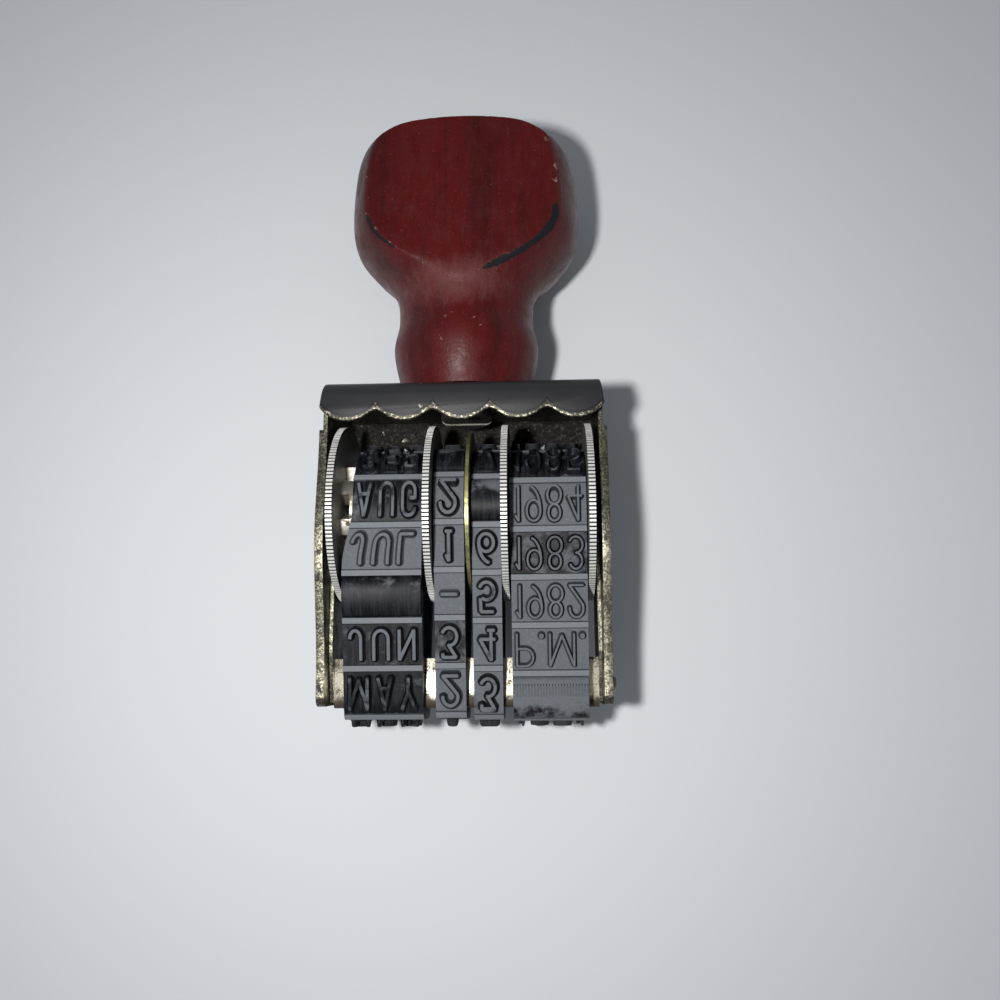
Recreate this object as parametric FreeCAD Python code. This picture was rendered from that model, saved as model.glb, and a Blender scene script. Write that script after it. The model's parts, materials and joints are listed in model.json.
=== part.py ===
import FreeCAD, Part
import math
import os

# Hand date stamp with four rubber bands of type, lying on its back.
# X runs across the stamp, Y towards the handle, Z up towards its front. Millimetres.
# Everything is drawn about the wheels' axle and moved to its resting place at the end.

Vector = FreeCAD.Vector
ACROSS = Vector(1, 0, 0)
ALONG = Vector(0, 1, 0)
UP = Vector(0, 0, 1)

# Type: one cell holds one character line of the common 4 mm size
character_height = 4.0
type_rise = 0.85
type_sink = 0.7
cells_per_band = 14
cells_per_drum_turn = 8

# Rubber bands
band_thickness = 1.3
band_cord_depth = 0.35
month_band_play = 0.8
tens_band_play = 0.35
units_band_play = 0.16
year_band_play = 0.3
month_type_margin = 0.525
day_type_margin = 0.475
year_type_margin = 0.325
month_letters = 3
year_figures = 4
month_letter_space = 0.55
year_figure_space = 0.35

# How far each band has crept up its front from standing square on the foot
month_band_creep = 0.0
tens_band_creep = 0.25
units_band_creep = -0.1
year_band_creep = -0.7

# Wheels
rim_radius = 10.75
rim_teeth = 148
rim_land_share = 0.6
rim_tooth_depth = 0.22
rim_thickness = 0.75
drum_radius = 6.2
drum_core_radius = 4.75
drum_bar_width = 1.9
drum_core_recess = 0.8
month_drum_width = 10.0
tens_drum_width = 3.85
units_drum_width = 3.51
year_drum_width = 9.0
separator_radius = 9.9
separator_thickness = 0.4

# Clearances
running_gap = 0.05
wheel_play = 0.12
band_drum_gap = 0.07
band_seat_gap = 0.02
plate_gap = 0.05
screw_gap = 0.05

# Axle and its washers
axle_radius = 1.5
axle_head_radius = 2.1
axle_head_height = 0.25
spacer_radius = 3.2
spacer_thickness = 0.2

# Frame of sheet steel: one top plate and two cheeks with thickened edges
frame_sheet = 0.5
frame_bend_radius = 0.45
cheek_depth_top = 7.1
cheek_depth_middle = 8.2
cheek_depth_foot = 5.4
cheek_middle_drop = 3.38
rivet_drop = 20.68
cheek_below_rivets = 2.2
cheek_foot_drop = rivet_drop + cheek_below_rivets
cheek_top_rise = 13.47
cheek_shoulder_rise = 9.02
cheek_corner_radius = 1.2
flange_width = 1.05
flange_rise = 0.45

# Hood over the frame
hood_sheet = 0.5
hood_depth = 9.0
hood_top_inset = 0.29
hood_edge_overhang = 0.16
scallop_count = 5
scallop_tip_rise = 9.57
scallop_height = 1.7

# Bridge that the bands run round at the printing end
bridge_below_rivets = 2.5
bridge_foot_drop = rivet_drop + bridge_below_rivets
bridge_height = 5.7
bridge_depth = 2.3
bridge_corner_radius = 0.7
bridge_sheet = 0.6
bridge_tab_thickness = 0.8
side_plate_thickness = 0.4
side_plate_depth = 3.6
side_plate_above_axle = 3.6
rivet_radius = 1.1
rivet_head_radius = 2.0
rivet_head_height = 1.35
rivet_inner_head_radius = 1.7
rivet_inner_head_height = 0.5
rivet_overlap = 0.2

# Handle: distances from its seat on the hood, and radii
handle_base_radius = 7.85
handle_base_slope = 0.25
bead_distance = 5.7
bead_radius = 9.05
neck_distance = 9.7
neck_radius = 8.45
throat_distance = 13.5
throat_radius = 9.0
flare_distance = 16.45
flare_radius = 11.7
shoulder_distance = 19.3
shoulder_radius = 13.85
knob_distance = 23.2
knob_radius = 14.45
brow_distance = 29.5
brow_radius = 13.95
corner_distance = 32.0
corner_radius = 12.6
crown_edge_distance = 33.5
crown_edge_radius = 9.6
handle_length = 34.65
front_flat_depth = 8.7

# Screw that holds the handle
screw_radius = 2.0
screw_head_radius = 3.2
screw_head_height = 1.7
screw_slot_width = 0.8
screw_slot_depth = 0.7
screw_length = 15.5
screw_point_length = 3.0
screw_tip_radius = 0.5
screw_head_round = 0.85
washer_radius = 3.8
washer_thickness = 0.5
bore_spare_depth = 0.6

# How far a cutting tool runs past what it cuts, and how near an edge must be to count as found
cut_reach = 1.0
near = 0.01
largest_fillet_share = 0.9

# Places across the stamp: the stack of wheels is centred, and added up from left to right
drums_width = month_drum_width + tens_drum_width + units_drum_width + year_drum_width
stack_width = drums_width + 4 * rim_thickness + separator_thickness + 4 * wheel_play
month_disc_left = -stack_width / 2
month_disc_right = month_disc_left + rim_thickness
month_drum_right = month_disc_right + month_drum_width
tens_disc_left = month_drum_right + wheel_play
tens_disc_right = tens_disc_left + rim_thickness
tens_drum_right = tens_disc_right + tens_drum_width
separator_left = tens_drum_right + wheel_play
separator_right = separator_left + separator_thickness
units_drum_left = separator_right + wheel_play
units_disc_left = units_drum_left + units_drum_width
units_disc_right = units_disc_left + rim_thickness
year_drum_left = units_disc_right + wheel_play
year_disc_left = year_drum_left + year_drum_width
plate_inside = stack_width / 2 + wheel_play + spacer_thickness
plate_outside = plate_inside + side_plate_thickness
cheek_inside = plate_outside + plate_gap
cheek_outside = cheek_inside + frame_sheet
hood_half_width_top = cheek_outside - hood_top_inset
hood_half_width_edge = cheek_outside + hood_edge_overhang

# Bands and their type, across the stamp
month_band_width = month_drum_width - month_band_play
tens_band_width = tens_drum_width - tens_band_play
units_band_width = units_drum_width - units_band_play
year_band_width = year_drum_width - year_band_play
month_type_width = month_band_width - 2 * month_type_margin
year_type_width = year_band_width - 2 * year_type_margin
month_letter_width = (month_type_width - (month_letters - 1) * month_letter_space) / month_letters
year_figure_width = (year_type_width - (year_figures - 1) * year_figure_space) / year_figures
day_figure_width = units_band_width - 2 * day_type_margin

# Places along the stamp
hood_inside_top = cheek_top_rise + frame_sheet
handle_seat = hood_inside_top + hood_sheet
handle_top = handle_seat + handle_length
band_foot = bridge_foot_drop + band_seat_gap + band_thickness
type_reach = band_foot + type_rise
screw_top = cheek_top_rise - washer_thickness + screw_length

# The hood's bend clears the corner of the frame inside it
hood_bend_radius = hood_depth - cheek_depth_top - plate_gap

# The stamp lies on its wheel rims and on a flat milled on the back of the handle
rest_depth = rim_radius
to_rest = Vector(0, (type_reach - handle_top) / 2, rest_depth)


def box(low, high):
    """A block between two corners."""
    size = high - low
    return Part.makeBox(size.x, size.y, size.z, low)


def rod(radius, left, right, y=0.0, z=0.0):
    """A cylinder across the stamp from one X to another."""
    return Part.makeCylinder(radius, right - left, Vector(left, y, z), ACROSS)


def face_across(points, x):
    """A flat face at one X, from Y and Z pairs."""
    corners = [Vector(x, y, z) for y, z in points]
    return Part.Face(Part.makePolygon(corners + corners[:1]))


def save(name, shape):
    """Move a finished piece to its resting place and write it."""
    placed = shape.copy()
    placed.translate(to_rest)
    placed.exportStep(os.path.join("parts", name + ".step"))
    print(name, "solids", len(placed.Solids), "valid", placed.isValid(), "volume", round(placed.Volume, 2))


class BandLoop:
    """The closed path of a band round the drum and the bridge, at one distance off them."""

    def __init__(self, offset):
        self.big = drum_radius + band_drum_gap + offset
        self.small = bridge_corner_radius + offset
        self.centre_y = -(bridge_foot_drop - bridge_corner_radius)
        self.centre_z = bridge_depth - bridge_corner_radius
        reach = math.hypot(self.centre_y, self.centre_z)
        aim = math.atan2(self.centre_z, self.centre_y)
        # The angle, from the handle's side, of the normal that the straight run shares with both arcs
        self.normal = aim - math.acos((self.big - self.small) / reach)
        self.corner_turn = math.pi - self.normal
        run_y = self.centre_y + (self.small - self.big) * math.cos(self.normal)
        run_z = self.centre_z + (self.small - self.big) * math.sin(self.normal)
        self.run = math.hypot(run_y, run_z)
        self.parts = [self.centre_z, self.small * self.corner_turn, self.run, self.big * self.normal]
        self.length = 2 * sum(self.parts)

    def front_half(self, s):
        """Point and outward normal at a distance s from the middle of the foot, up the front."""
        foot, corner, run, _ = self.parts
        if s <= foot:
            return self.centre_y - self.small, s, math.pi
        s -= foot
        if s <= corner:
            angle = math.pi - s / self.small
            y = self.centre_y + self.small * math.cos(angle)
            return y, self.centre_z + self.small * math.sin(angle), angle
        s -= corner
        if s <= run:
            y = self.centre_y + self.small * math.cos(self.normal) + s * math.sin(self.normal)
            z = self.centre_z + self.small * math.sin(self.normal) - s * math.cos(self.normal)
            return y, z, self.normal
        angle = self.normal - (s - run) / self.big
        return self.big * math.cos(angle), self.big * math.sin(angle), angle

    def place(self, s):
        """Point and outward normal anywhere round the loop, counted from the middle of the foot."""
        s = s % self.length
        if s <= self.length / 2:
            return self.front_half(s)
        y, z, angle = self.front_half(self.length - s)
        return y, -z, -angle

    def face(self, x):
        """The region inside the loop at one X."""
        def at(y, z):
            return Vector(x, y, z)

        def on(cy, cz, r, angle):
            return at(cy + r * math.cos(angle), cz + r * math.sin(angle))

        n = self.normal
        cy, cz, small, big = self.centre_y, self.centre_z, self.small, self.big
        middle = (n + math.pi) / 2
        edges = [
            Part.Arc(on(0, 0, big, -n), at(big, 0), on(0, 0, big, n)).toShape(),
            Part.makeLine(on(0, 0, big, n), on(cy, cz, small, n)),
            Part.Arc(on(cy, cz, small, n), on(cy, cz, small, middle), on(cy, cz, small, math.pi)).toShape(),
            Part.makeLine(on(cy, cz, small, math.pi), on(cy, -cz, small, math.pi)),
            Part.Arc(on(cy, -cz, small, math.pi), on(cy, -cz, small, -middle), on(cy, -cz, small, -n)).toShape(),
            Part.makeLine(on(cy, -cz, small, -n), on(0, 0, big, -n)),
        ]
        return Part.Face(Part.Wire(edges))


def type_block(cord, s, centre_x, width):
    """A raised block that stands for one character, square to the band's surface."""
    y, z, angle = cord.place(s)
    half = character_height / 2
    low = band_cord_depth - type_sink
    block = box(Vector(-width / 2, low, -half), Vector(width / 2, band_cord_depth + type_rise, half))
    # The block is drawn pointing along Y, then turned about X to the surface's own normal
    block.rotate(Vector(0, 0, 0), ACROSS, math.degrees(angle))
    block.translate(Vector(centre_x, y, z))
    return block


def make_band(centre_x, width, figures, figure_width, figure_space, creep):
    """A rubber band with its raised type: the same number of cells all round."""
    left = centre_x - width / 2
    outer = BandLoop(band_seat_gap + band_thickness)
    inner = BandLoop(band_seat_gap)
    belt = outer.face(left).extrude(ACROSS * width).cut(inner.face(left).extrude(ACROSS * width))
    cord = BandLoop(band_seat_gap + band_thickness - band_cord_depth)
    pitch = cord.length / cells_per_band
    step = figure_width + figure_space
    first = centre_x - step * (figures - 1) / 2
    blocks = []
    for cell in range(cells_per_band):
        for figure in range(figures):
            blocks.append(type_block(cord, cell * pitch + creep, first + figure * step, figure_width))
    return belt.fuse(blocks).removeSplitter()


def make_thumbwheel(left):
    """A thin disc with flat-topped teeth round its rim, bored for the axle."""
    groove = (1 + rim_land_share) / 2
    tooth_points = ((0.0, rim_radius), (rim_land_share, rim_radius), (groove, rim_radius - rim_tooth_depth))
    points = []
    for tooth in range(rim_teeth):
        for share, radius in tooth_points:
            angle = 2 * math.pi * (tooth + share - rim_land_share / 2) / rim_teeth
            points.append((-radius * math.cos(angle), -radius * math.sin(angle)))
    disc = face_across(points, left).extrude(ACROSS * rim_thickness)
    return disc.cut(rod(axle_radius + running_gap, left, left + rim_thickness))


def make_drum(disc_side, free_side):
    """A roller with bars across it that drive the band; its core stops short of the disc."""
    direction = 1 if free_side > disc_side else -1
    core_near = disc_side + direction * drum_core_recess
    left, right = min(disc_side, free_side), max(disc_side, free_side)
    core = rod(drum_core_radius, min(core_near, free_side), max(core_near, free_side))
    bars = []
    for index in range(cells_per_drum_turn):
        low = Vector(left, drum_core_radius - drum_bar_width / 2, -drum_bar_width / 2)
        bar = box(low, Vector(right, drum_radius, drum_bar_width / 2))
        bar = bar.common(rod(drum_radius, left, right))
        bar.rotate(Vector(0, 0, 0), ACROSS, 360.0 * (index + 0.5) / cells_per_drum_turn)
        bars.append(bar)
    drum = core.fuse(bars).removeSplitter()
    return drum.cut(rod(axle_radius + running_gap, left, right))


def make_washer(left, right, outer, bore):
    """A flat ring across the stamp."""
    return rod(outer, left, right).cut(rod(bore, left, right))


def make_axle():
    """A pin with a small closed-over head outside each cheek."""
    reach = cheek_outside + axle_head_height
    pin = rod(axle_radius, -reach, reach)
    heads = [rod(axle_head_radius, cheek_outside, reach), rod(axle_head_radius, -reach, -cheek_outside)]
    return pin.fuse(heads).removeSplitter()


def cheek_edge(inset):
    """The front edge of a cheek as Y and depth pairs, from its top to its foot."""
    return [
        (cheek_top_rise, cheek_depth_top - inset),
        (cheek_shoulder_rise, cheek_depth_top - inset),
        (-cheek_middle_drop, cheek_depth_middle - inset),
        (-cheek_foot_drop + cheek_corner_radius, cheek_depth_foot - inset),
    ]


def cheek_face(x, inset):
    """The outline of a cheek, both edges drawn in by an inset."""
    front = [Vector(x, y, z) for y, z in cheek_edge(inset)]
    back = [Vector(x, v.y, -v.z) for v in front]
    corner = cheek_corner_radius
    foot = -cheek_foot_drop
    foot_front = Vector(x, foot, front[-1].z - corner)
    foot_back = Vector(x, foot, -foot_front.z)
    bow = corner * (1 - math.sqrt(0.5))
    round_front = Vector(x, foot + bow, front[-1].z - bow)
    round_back = Vector(x, round_front.y, -round_front.z)

    def side(points):
        curve = Part.BSplineCurve()
        curve.interpolate(points[1:], InitialTangent=points[1] - points[0], FinalTangent=Vector(0, -1, 0))
        return [Part.makeLine(points[0], points[1]), curve.toShape()]

    edges = side(front)
    edges.append(Part.Arc(front[-1], round_front, foot_front).toShape())
    edges.append(Part.makeLine(foot_front, foot_back))
    edges.append(Part.Arc(foot_back, round_back, back[-1]).toShape())
    edges.extend(side(back))
    edges.append(Part.makeLine(back[0], front[0]))
    return Part.Face(Part.Wire(Part.__sortEdges__(edges)))


def make_cheek(side):
    """One cheek plate with a thicker flange along its front and back edges."""
    inside = side * cheek_inside
    outside = side * cheek_outside
    plate = cheek_face(inside, 0.0).extrude(ACROSS * side * frame_sheet)
    rim = cheek_face(outside, 0.0).extrude(ACROSS * side * flange_rise)
    inner_side = cheek_face(outside, flange_width).extrude(ACROSS * side * flange_rise)
    flange = rim.cut(inner_side)
    foot = -cheek_foot_drop - cut_reach
    keep = box(
        Vector(-cheek_outside - flange_rise, foot, -cheek_depth_middle),
        Vector(cheek_outside + flange_rise, cheek_shoulder_rise, cheek_depth_middle),
    )
    return plate.fuse(flange.common(keep)).removeSplitter()


def make_frame():
    """The yoke: top plate and two cheeks, holed for the axle, the rivets and the handle's screw."""
    top = box(
        Vector(-cheek_outside, cheek_top_rise, -cheek_depth_top),
        Vector(cheek_outside, hood_inside_top, cheek_depth_top),
    )
    corners = [edge for edge in top.Edges if edge.BoundBox.ZLength > cheek_depth_top
               and edge.BoundBox.YMin > hood_inside_top - frame_sheet / 2]
    top = top.makeFillet(min(frame_bend_radius, frame_sheet * largest_fillet_share), corners)
    yoke = top.fuse([make_cheek(1), make_cheek(-1)]).removeSplitter()
    reach = cheek_outside + flange_rise
    holes = [
        rod(axle_radius + running_gap, -reach, reach),
        rod(rivet_radius + running_gap, -reach, reach, -rivet_drop),
        Part.makeCylinder(screw_radius + screw_gap, 2 * frame_sheet, Vector(0, cheek_top_rise, 0), ALONG),
    ]
    return yoke.cut(holes)


def hood_section(x, inset):
    """Cross-section of the hood down to its lowest scallop tips."""
    top = handle_seat - inset
    depth = hood_depth - inset
    bend = hood_bend_radius - inset
    low = scallop_tip_rise
    bow = bend * (1 - math.sqrt(0.5))
    points = [(low, depth), (top - bend, depth), (top, depth - bend)]
    front = [Vector(x, y, z) for y, z in points]
    back = [Vector(x, v.y, -v.z) for v in front]
    edges = [
        Part.makeLine(front[0], front[1]),
        Part.Arc(front[1], Vector(x, top - bow, depth - bow), front[2]).toShape(),
        Part.makeLine(front[2], back[2]),
        Part.Arc(back[2], Vector(x, top - bow, -depth + bow), back[1]).toShape(),
        Part.makeLine(back[1], back[0]),
        Part.makeLine(back[0], front[0]),
    ]
    return Part.Face(Part.Wire(edges))


def make_hood():
    """Bent sheet cover, open at its ends, with scallops along both lower edges."""
    reach = hood_half_width_edge
    solid = hood_section(-reach, 0.0).extrude(ACROSS * 2 * reach)
    hollow = hood_section(-reach, hood_sheet)
    inner_depth = hood_depth - hood_sheet
    mouth_low, mouth_high = scallop_tip_rise - cut_reach, scallop_tip_rise + cut_reach
    hollow = hollow.fuse(face_across([
        (mouth_low, inner_depth), (mouth_high, inner_depth), (mouth_high, -inner_depth), (mouth_low, -inner_depth),
    ], -reach)).removeSplitter()
    shell = solid.cut(hollow.extrude(ACROSS * 2 * reach))
    # The outline seen from the front: sloping ends and a row of arcs
    step = 2 * reach / scallop_count
    cusp = scallop_tip_rise + scallop_height
    corners = [(-reach, cusp), (-hood_half_width_top, handle_seat), (hood_half_width_top, handle_seat), (reach, cusp)]
    points = [Vector(x, y, -hood_depth) for x, y in corners]
    edges = [Part.makeLine(a, b) for a, b in zip(points, points[1:])]
    for index in range(scallop_count):
        right = reach - index * step
        start = Vector(right, cusp, -hood_depth)
        lowest = Vector(right - step / 2, scallop_tip_rise, -hood_depth)
        edges.append(Part.Arc(start, lowest, Vector(right - step, cusp, -hood_depth)).toShape())
    outline = Part.Face(Part.Wire(edges)).extrude(UP * 2 * hood_depth)
    hole = Part.makeCylinder(screw_radius + screw_gap, 2 * hood_sheet, Vector(0, hood_inside_top, 0), ALONG)
    return shell.common(outline).cut(hole)


def make_side_plate(side):
    """Inner plate beside a cheek, from the bridge up round the axle."""
    foot = -(bridge_foot_drop - bridge_corner_radius)
    start = side * plate_inside
    straight_top = side_plate_above_axle - side_plate_depth
    strip = face_across([
        (foot, -bridge_depth), (foot, bridge_depth), (foot + bridge_height, side_plate_depth),
        (straight_top, side_plate_depth), (straight_top, -side_plate_depth),
        (foot + bridge_height, -side_plate_depth),
    ], start).extrude(ACROSS * side * side_plate_thickness)
    left, right = min(start, side * plate_outside), max(start, side * plate_outside)
    plate = strip.fuse(rod(side_plate_depth, left, right, straight_top)).removeSplitter()
    holes = [rod(axle_radius + running_gap, left, right), rod(rivet_radius + running_gap, left, right, -rivet_drop)]
    return plate.cut(holes)


def make_bridge():
    """Channel across the stamp, closed towards the print, with an end tab against each side plate."""
    foot = -bridge_foot_drop
    reach = plate_inside
    section = [
        (foot + bridge_height, bridge_depth), (foot + bridge_height, -bridge_depth),
        (foot, -bridge_depth), (foot, bridge_depth),
    ]
    bar = face_across(section, -reach).extrude(ACROSS * 2 * reach)
    low_edges = [edge for edge in bar.Edges if edge.BoundBox.XLength > reach and edge.BoundBox.YMax < foot + near]
    bar = bar.makeFillet(bridge_corner_radius, low_edges)
    inside = reach - bridge_tab_thickness
    trough = box(
        Vector(-inside, foot + bridge_sheet, -bridge_depth + bridge_sheet),
        Vector(inside, foot + bridge_height, bridge_depth - bridge_sheet),
    )
    return bar.cut([trough, rod(rivet_radius + running_gap, -reach, reach, -rivet_drop)])


def make_rivets():
    """The two rivets through cheek, side plate and bridge tab, domed outside."""
    rivets = []
    tab_inside = plate_inside - bridge_tab_thickness
    for side in (1, -1):
        ends = sorted((side * (tab_inside - rivet_inner_head_height), side * (cheek_outside + rivet_overlap)))
        shank = rod(rivet_radius, ends[0], ends[1], -rivet_drop)
        inner = sorted((side * (tab_inside - rivet_inner_head_height), side * tab_inside))
        inner_head = rod(min(rivet_inner_head_radius, bridge_depth - bridge_sheet), inner[0], inner[1], -rivet_drop)
        dome_radius = (rivet_head_radius ** 2 + rivet_head_height ** 2) / (2 * rivet_head_height)
        centre = Vector(side * (cheek_outside + rivet_head_height - dome_radius), -rivet_drop, 0)
        ball = Part.makeSphere(dome_radius, centre)
        outer = sorted((side * cheek_outside, side * (cheek_outside + rivet_head_height)))
        dome = ball.common(rod(rivet_head_radius, outer[0], outer[1], -rivet_drop))
        rivets.append(dome.fuse([shank, inner_head]).removeSplitter())
    return Part.makeCompound(rivets)


def make_handle():
    """Turned knob with a flat milled on the front and one on the back, bored for its screw."""
    stations = [
        (0.0, handle_base_radius), (bead_distance, bead_radius), (neck_distance, neck_radius),
        (throat_distance, throat_radius), (flare_distance, flare_radius), (shoulder_distance, shoulder_radius),
        (knob_distance, knob_radius), (brow_distance, brow_radius), (corner_distance, corner_radius),
        (crown_edge_distance, crown_edge_radius), (handle_length, 0.0),
    ]
    points = [Vector(radius, handle_seat + distance, 0) for distance, radius in stations]
    curve = Part.BSplineCurve()
    curve.interpolate(points, InitialTangent=Vector(handle_base_slope, 1, 0), FinalTangent=Vector(-1, 0, 0))
    centre = Vector(0, handle_seat, 0)
    outline = Part.Wire([curve.toShape(), Part.makeLine(points[-1], centre), Part.makeLine(centre, points[0])])
    knob = Part.Face(outline).revolve(centre, ALONG, 360)
    knob = Part.Solid(knob) if knob.ShapeType == "Shell" else knob
    reach = knob_radius + cut_reach
    start = handle_seat + neck_distance
    front = box(Vector(-reach, start, front_flat_depth), Vector(reach, handle_top + cut_reach, reach))
    back = box(Vector(-reach, start, -reach), Vector(reach, handle_top + cut_reach, -rest_depth))
    bore_depth = screw_top - handle_seat + bore_spare_depth
    bore = Part.makeCylinder(screw_radius + screw_gap, bore_depth, centre, ALONG)
    return knob.cut([front, back, bore])


def make_screw():
    """Wood screw with a slotted pan head under the washer and a pointed end in the handle."""
    seat = cheek_top_rise - washer_thickness
    head = Part.makeCylinder(screw_head_radius, screw_head_height, Vector(0, seat - screw_head_height, 0), ALONG)
    lower_rim = [edge for edge in head.Edges if edge.BoundBox.YMax < seat - screw_head_height + near]
    head = head.makeFillet(screw_head_round, lower_rim)
    slot = box(
        Vector(-screw_head_radius, seat - screw_head_height, -screw_slot_width / 2),
        Vector(screw_head_radius, seat - screw_head_height + screw_slot_depth, screw_slot_width / 2),
    )
    shank = Part.makeCylinder(screw_radius, screw_length - screw_point_length, Vector(0, seat, 0), ALONG)
    point_base = Vector(0, seat + screw_length - screw_point_length, 0)
    point = Part.makeCone(screw_radius, screw_tip_radius, screw_point_length, point_base, ALONG)
    return head.cut(slot).fuse([shank, point]).removeSplitter()


def make_screw_washer():
    """Flat washer between the screw's head and the frame's top plate."""
    base = Vector(0, cheek_top_rise - washer_thickness, 0)
    ring = Part.makeCylinder(washer_radius, washer_thickness, base, ALONG)
    return ring.cut(Part.makeCylinder(screw_radius + screw_gap, washer_thickness, base, ALONG))


month_band_centre = (month_disc_right + month_drum_right) / 2
tens_band_centre = (tens_disc_right + tens_drum_right) / 2
units_band_centre = (units_drum_left + units_disc_left) / 2
year_band_centre = (year_drum_left + year_disc_left) / 2

os.makedirs("parts", exist_ok=True)
cord_line = BandLoop(band_seat_gap + band_thickness - band_cord_depth)
print("cell pitch", round(cord_line.length / cells_per_band, 3), "type reach", round(type_reach, 2))
print("axle at", [round(value, 4) for value in to_rest], "handle top", round(handle_top, 2))

save("handle", make_handle())
save("handle_screw", make_screw())
save("screw_washer", make_screw_washer())
save("hood", make_hood())
save("frame_yoke", make_frame())
save("left_side_plate", make_side_plate(-1))
save("right_side_plate", make_side_plate(1))
save("bridge", make_bridge())
save("bridge_rivets", make_rivets())
save("axle", make_axle())
save("left_spacer", make_washer(-plate_inside, spacer_thickness - plate_inside, spacer_radius,
                                axle_radius + running_gap))
save("right_spacer", make_washer(plate_inside - spacer_thickness, plate_inside, spacer_radius,
                                 axle_radius + running_gap))
save("centre_separator", make_washer(separator_left, separator_right, separator_radius,
                                     axle_radius + running_gap))
save("month_thumbwheel", make_thumbwheel(month_disc_left))
save("tens_thumbwheel", make_thumbwheel(tens_disc_left))
save("units_thumbwheel", make_thumbwheel(units_disc_left))
save("year_thumbwheel", make_thumbwheel(year_disc_left))
save("month_drum", make_drum(month_disc_right, month_drum_right))
save("tens_drum", make_drum(tens_disc_right, tens_drum_right))
save("units_drum", make_drum(units_disc_left, units_drum_left))
save("year_drum", make_drum(year_disc_left, year_drum_left))
save("month_band", make_band(month_band_centre, month_band_width, month_letters,
                             month_letter_width, month_letter_space, month_band_creep))
save("tens_band", make_band(tens_band_centre, tens_band_width, 1, day_figure_width, 0.0, tens_band_creep))
save("units_band", make_band(units_band_centre, units_band_width, 1, day_figure_width, 0.0, units_band_creep))
save("year_band", make_band(year_band_centre, year_band_width, year_figures,
                            year_figure_width, year_figure_space, year_band_creep))
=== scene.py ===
import json
import math

import bpy
from mathutils import Matrix, Vector


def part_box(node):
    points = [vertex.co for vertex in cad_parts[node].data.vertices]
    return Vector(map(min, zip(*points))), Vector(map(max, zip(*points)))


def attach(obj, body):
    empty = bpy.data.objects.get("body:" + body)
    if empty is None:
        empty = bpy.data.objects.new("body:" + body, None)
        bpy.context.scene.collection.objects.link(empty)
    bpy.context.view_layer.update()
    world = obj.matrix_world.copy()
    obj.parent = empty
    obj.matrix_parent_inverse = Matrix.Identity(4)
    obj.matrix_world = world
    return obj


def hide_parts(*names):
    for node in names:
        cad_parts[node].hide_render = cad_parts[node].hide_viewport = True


# Hand date stamp lying on its back: worn nickel yoke, black enamelled hood, stained wooden knob,
# serrated thumbwheels and four rubber bands of raised type. Sizes are in metres.

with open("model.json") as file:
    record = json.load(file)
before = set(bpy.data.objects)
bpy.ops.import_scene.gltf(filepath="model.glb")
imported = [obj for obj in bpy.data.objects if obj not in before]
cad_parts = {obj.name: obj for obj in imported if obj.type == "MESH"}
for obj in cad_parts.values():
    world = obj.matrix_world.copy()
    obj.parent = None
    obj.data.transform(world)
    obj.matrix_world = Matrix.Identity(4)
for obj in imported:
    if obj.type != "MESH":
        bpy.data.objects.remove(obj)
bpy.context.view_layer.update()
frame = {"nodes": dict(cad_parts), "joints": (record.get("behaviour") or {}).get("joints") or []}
MM = 0.001
BODY = "stamp_body"
AXLE = Vector(frame["joints"][0]["pos_m"])

# Sizes of the bands and their path round the drum and the bridge
DRUM_RADIUS = 6.27 * MM
RIM_RADIUS = 10.75 * MM
BRIDGE_CORNER = 0.7 * MM
BRIDGE_LOW, BRIDGE_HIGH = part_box("bridge")
BAND_THICKNESS = 1.3 * MM
BAND_SEAT = 0.02 * MM
CORD_DEPTH = 0.35 * MM
CELLS = 14
CUSP_REACH = 1.7 * MM
SCALLOPS = 5
SCALLOP_SAG = 1.7 * MM
BARE_LIP = 0.48 * MM
LIP_SHADE = 0.86 * MM
HOOD_ROUNDING, YOKE_ROUNDING, BRIDGE_ROUNDING = 0.2 * MM, 0.3 * MM, 0.12 * MM
TYPE_RISE = 0.85 * MM
CHARACTER_HEIGHT = 4.1 * MM
STRIP_WIDTH = 0.85 * MM
STRIP_RISE = 0.22 * MM
CELL_STEPS = 8
PAD_LENGTH = 4.7 * MM
PAD_SINK = 0.12 * MM
PAD_SHARE = 0.985
STRIP_SPREAD = 0.12 * MM
RIBS = 26
RIB_LENGTH = 1.5 * MM
RIB_PLACE = 0.95 * MM
RIB_RISE = 0.10 * MM
MONTH_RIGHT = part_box("month_band")[1].x
WHEELS = ("month", "tens", "units", "year")
# The month band's ride to the side: where it begins and ends in cells, and over how many it comes and goes
RIDE_START, RIDE_COMES, RIDE_END, RIDE_GOES = 3.6, 1.3, 8.5, 2.0
RIDE_NARROWING = 0.115
RIDE_SHIFT = 0.25 * MM

# Handle: distances from its seat and radii, as turned on the lathe
HANDLE_STATIONS = [
    (0.0, 7.85), (5.7, 9.05), (9.7, 8.45), (13.5, 9.0), (16.45, 11.7), (19.3, 13.85),
    (23.2, 14.45), (29.5, 13.95), (32.0, 12.55), (33.5, 9.2), (34.65, 0.0),
]
HANDLE_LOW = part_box("handle")[0]
FRONT_FLAT = AXLE.z + 8.7 * MM
BACK_FLAT = 0.0
FLAT_START = 13.9 * MM
CHIN_REACH = 1.3 * MM
CHIN_LEVEL = AXLE.z + 6 * MM
KNOB_END_START = 30.5 * MM
CREASE_SOFT = 0.45 * MM
CREASE_CHIPPED = 0.5 * MM
FLAT_LIP = AXLE.z + 8.65 * MM
# The neck's rubbed patch: across in metres and along the handle in mm, its middle and its reach
RUBBED_MIDDLE, RUBBED_REACH = (-0.9 * MM, 12.4), (8.5 * MM, 3.6)
# Where grime lies in the flat's lower creases: from and to along the handle, and its reach in mm
RIGHT_GRIME, LEFT_GRIME = (13.0, 23.0, 1.05), (16.0, 22.0, 0.50)
HANDLE_SIDES = 176
RINGS_PER_STATION = 9

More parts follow.
